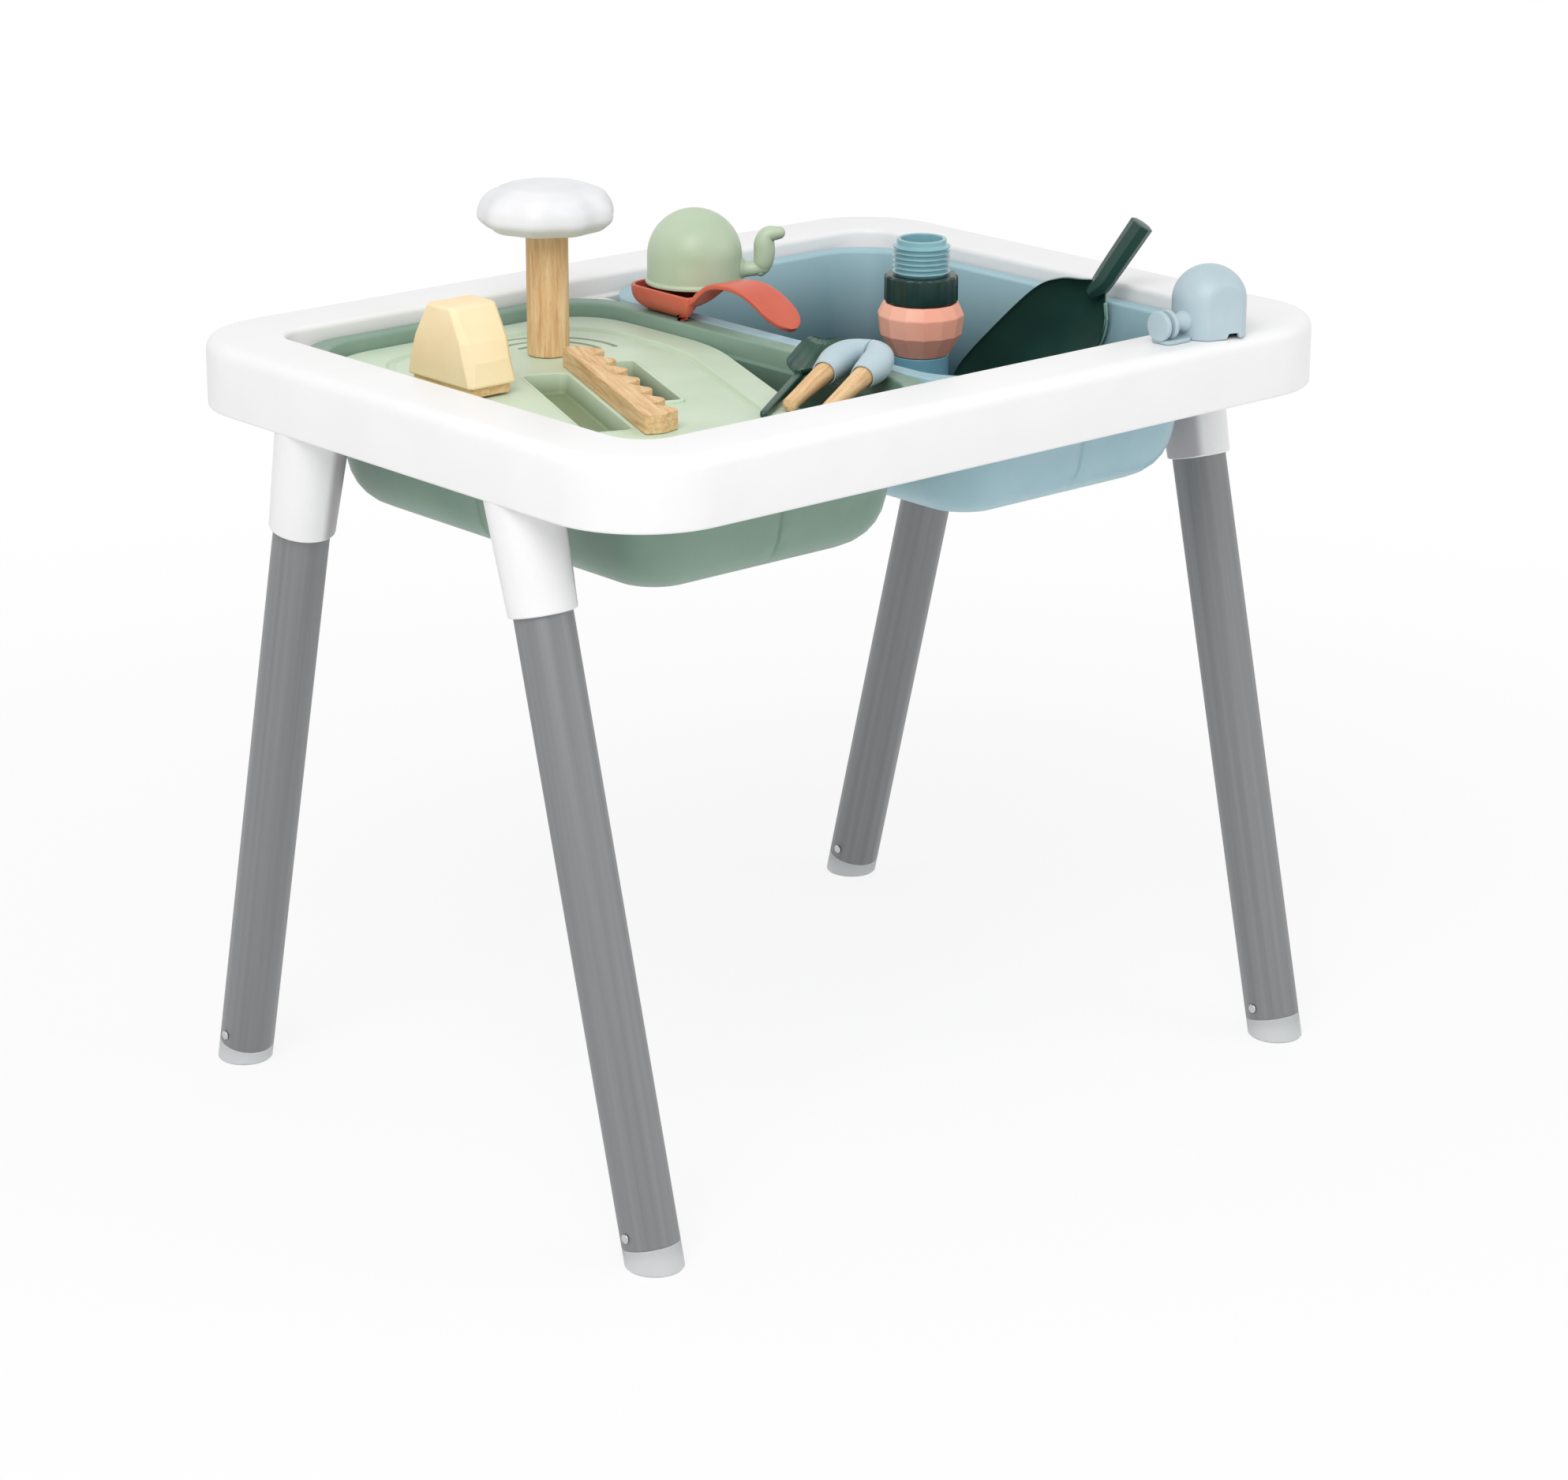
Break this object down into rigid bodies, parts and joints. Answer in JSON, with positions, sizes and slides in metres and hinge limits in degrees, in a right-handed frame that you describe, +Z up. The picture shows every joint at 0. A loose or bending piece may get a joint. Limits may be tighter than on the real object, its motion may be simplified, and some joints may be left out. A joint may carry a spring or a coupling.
{
  "type": "sand and water table",
  "caption": "Toddler play table with a white rim frame on splayed tube legs, lift-out sand and water bins, a tray lid and loose scooping, stamping and pouring toys.",
  "frame": {"origin": "on the floor under the middle of the table", "axes": "+X along the long side towards the water bin, +Y towards the rear long side, +Z up"},
  "size_m": [0.61, 0.467, 0.5908],
  "materials": {
    "frame_white": "smooth moulded white with a soft gloss",
    "leg_steel": "grey powder coat on steel tube",
    "foot_clear": "frosted translucent grey",
    "bright_steel": "bright zinc plate",
    "sand_bin_green": "satin moulded grey green",
    "water_bin_blue": "satin moulded pale blue",
    "lid_green": "satin moulded pale green",
    "soft_white": "soft matte white",
    "beech": "sanded, unvarnished",
    "cream": "matte cream",
    "sage": "satin sage",
    "coral": "satin coral red",
    "forest": "satin dark green",
    "pine": "satin near-black green",
    "mist": "satin pale blue grey",
    "teal": "glossy, slightly see-through blue",
    "peach": "satin peach"
  },
  "bodies": {
    "frame": {"table_frame": "frame_white", "centre_crossbar": "frame_white", "leg_sleeve_front_left": "frame_white", "sleeve_screw_front_left_near": "bright_steel", "sleeve_screw_front_left_far": "bright_steel", "leg_sleeve_front_right": "frame_white", "sleeve_screw_front_right_near": "bright_steel", "sleeve_screw_front_right_far": "bright_steel", "leg_sleeve_rear_left": "frame_white", "sleeve_screw_rear_left_near": "bright_steel", "sleeve_screw_rear_left_far": "bright_steel", "leg_sleeve_rear_right": "frame_white", "sleeve_screw_rear_right_near": "bright_steel", "sleeve_screw_rear_right_far": "bright_steel"},
    "leg_front_left": {"leg_tube_front_left": "leg_steel", "foot_cap_front_left": "foot_clear", "foot_rivet_front_left": "bright_steel"},
    "leg_front_right": {"leg_tube_front_right": "leg_steel", "foot_cap_front_right": "foot_clear", "foot_rivet_front_right": "bright_steel"},
    "leg_rear_left": {"leg_tube_rear_left": "leg_steel", "foot_cap_rear_left": "foot_clear", "foot_rivet_rear_left": "bright_steel"},
    "leg_rear_right": {"leg_tube_rear_right": "leg_steel", "foot_cap_rear_right": "foot_clear", "foot_rivet_rear_right": "bright_steel"},
    "sand_bin": {"sand_bin": "sand_bin_green"},
    "water_bin": {"water_bin": "water_bin_blue"},
    "lid": {"bin_lid": "lid_green"},
    "mushroom": {"mushroom_stem": "beech", "mushroom_cap": "soft_white"},
    "block": {"block_base": "beech", "block_stamp": "cream"},
    "rake": {"rake": "beech"},
    "spade": {"spade": "forest"},
    "tongs_left": {"tongs_yoke_left": "mist", "tongs_leg_left": "beech"},
    "tongs_right": {"tongs_yoke_right": "mist", "tongs_leg_right": "beech"},
    "ladle": {"ladle": "coral"},
    "sage_mould": {"sage_mould": "sage"},
    "rim_mould": {"rim_mould": "mist"},
    "tumbler": {"tower_tumbler": "teal"},
    "cup": {"tower_cup": "peach"},
    "collar": {"tower_collar": "pine"},
    "neck": {"tower_neck": "teal"},
    "scoop": {"scoop": "pine"}
  },
  "joints": [
    {"name": "leg_pull_front_left", "type": "slide", "parent": "frame", "child": "leg_front_left", "axis": [0.0107, -0.2339, -0.9722], "range_m": [0, 0.055]},
    {"name": "leg_pull_front_right", "type": "slide", "parent": "frame", "child": "leg_front_right", "axis": [-0.0107, -0.2339, -0.9722], "range_m": [0, 0.055]},
    {"name": "leg_pull_rear_left", "type": "slide", "parent": "frame", "child": "leg_rear_left", "axis": [0.0107, 0.2339, -0.9722], "range_m": [0, 0.055]},
    {"name": "leg_pull_rear_right", "type": "slide", "parent": "frame", "child": "leg_rear_right", "axis": [-0.0107, 0.2339, -0.9722], "range_m": [0, 0.055]},
    {"name": "sand_bin_lift", "type": "slide", "parent": "frame", "child": "sand_bin", "axis": [0, 0, 1], "range_m": [0, 0.115]},
    {"name": "water_bin_lift", "type": "slide", "parent": "frame", "child": "water_bin", "axis": [0, 0, 1], "range_m": [0, 0.115]},
    {"name": "lid_lift", "type": "slide", "parent": "sand_bin", "child": "lid", "axis": [0, 0, 1], "range_m": [0, 0.06]},
    {"name": "mushroom_lift", "type": "slide", "parent": "lid", "child": "mushroom", "axis": [0, 0, 1], "range_m": [0, 0.06]},
    {"name": "block_lift", "type": "slide", "parent": "lid", "child": "block", "axis": [0, 0, 1], "range_m": [0, 0.06]},
    {"name": "rake_lift", "type": "slide", "parent": "lid", "child": "rake", "axis": [0, 0, 1], "range_m": [0, 0.05]},
    {"name": "spade_lift", "type": "slide", "parent": "lid", "child": "spade", "axis": [0, 0, 1], "range_m": [0, 0.05]},
    {"name": "tongs_lift", "type": "slide", "parent": "lid", "child": "tongs_left", "axis": [0, 0, 1], "range_m": [0, 0.05]},
    {"name": "tongs_squeeze", "type": "hinge", "parent": "tongs_left", "child": "tongs_right", "pos_m": [-0.01582, -0.11062, 0.50076], "axis": [0.1507, 0.0666, -0.9863], "range_deg": [0, 10], "stiffness_Nm_per_rad": 0.02},
    {"name": "ladle_lift", "type": "slide", "parent": "sand_bin", "child": "ladle", "axis": [0, 0, 1], "range_m": [0, 0.115]},
    {"name": "sage_mould_lift", "type": "slide", "parent": "ladle", "child": "sage_mould", "axis": [0, 0, 1], "range_m": [0, 0.06]},
    {"name": "rim_mould_lift", "type": "slide", "parent": "frame", "child": "rim_mould", "axis": [0, 0, 1], "range_m": [0, 0.06]},
    {"name": "tumbler_lift", "type": "slide", "parent": "water_bin", "child": "tumbler", "axis": [0, 0, 1], "range_m": [0, 0.11]},
    {"name": "cup_lift", "type": "slide", "parent": "tumbler", "child": "cup", "axis": [0, 0, 1], "range_m": [0, 0.05]},
    {"name": "collar_lift", "type": "slide", "parent": "cup", "child": "collar", "axis": [0, 0, 1], "range_m": [0, 0.03]},
    {"name": "neck_lift", "type": "slide", "parent": "collar", "child": "neck", "axis": [0, 0, 1], "range_m": [0, 0.03]},
    {"name": "scoop_lift", "type": "slide", "parent": "water_bin", "child": "scoop", "axis": [0, 0, 1], "range_m": [0, 0.1]}
  ],
  "couplings": [
    {"joint": "ladle_lift", "follows": "water_bin_lift", "ratio": 1}
  ]
}
